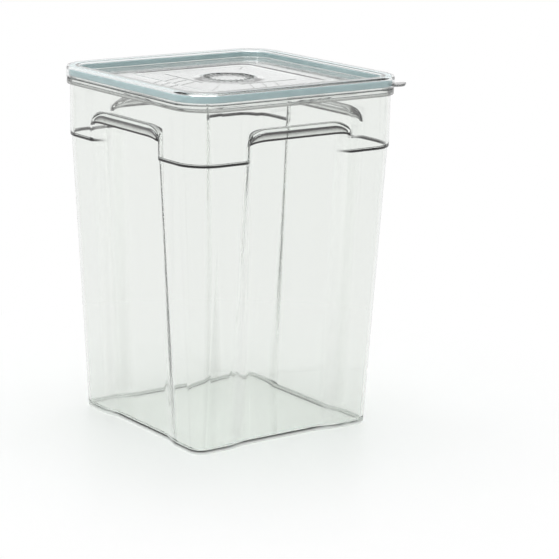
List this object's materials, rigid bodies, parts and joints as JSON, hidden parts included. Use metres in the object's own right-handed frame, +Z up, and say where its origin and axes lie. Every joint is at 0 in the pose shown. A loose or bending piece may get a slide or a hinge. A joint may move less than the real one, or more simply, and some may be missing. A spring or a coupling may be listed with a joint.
{
  "type": "food storage container",
  "caption": "Clear square food storage bin with hand recesses in its sides and a lift-off lid that holds a soft sealing gasket.",
  "frame": {"origin": "middle of the flat underside, on the surface that the bin stands on", "axes": "+Z up; the four flat sides face X and Y; the lid's lift tab points to the +X -Y corner"},
  "size_m": [0.2934, 0.2934, 0.4066],
  "materials": {
    "clear_body": "clear, polished",
    "clear_lid": "clear, polished",
    "soft_seal": "blue-grey, matt"
  },
  "bodies": {
    "bin": {"bin_body": "clear_body"},
    "lid_and_seal": {"lid": "clear_lid", "gasket": "soft_seal"}
  },
  "joints": [
    {"name": "lid_lift", "type": "slide", "parent": "bin", "child": "lid_and_seal", "axis": [0, 0, 1], "range_m": [0, 0.08]}
  ]
}
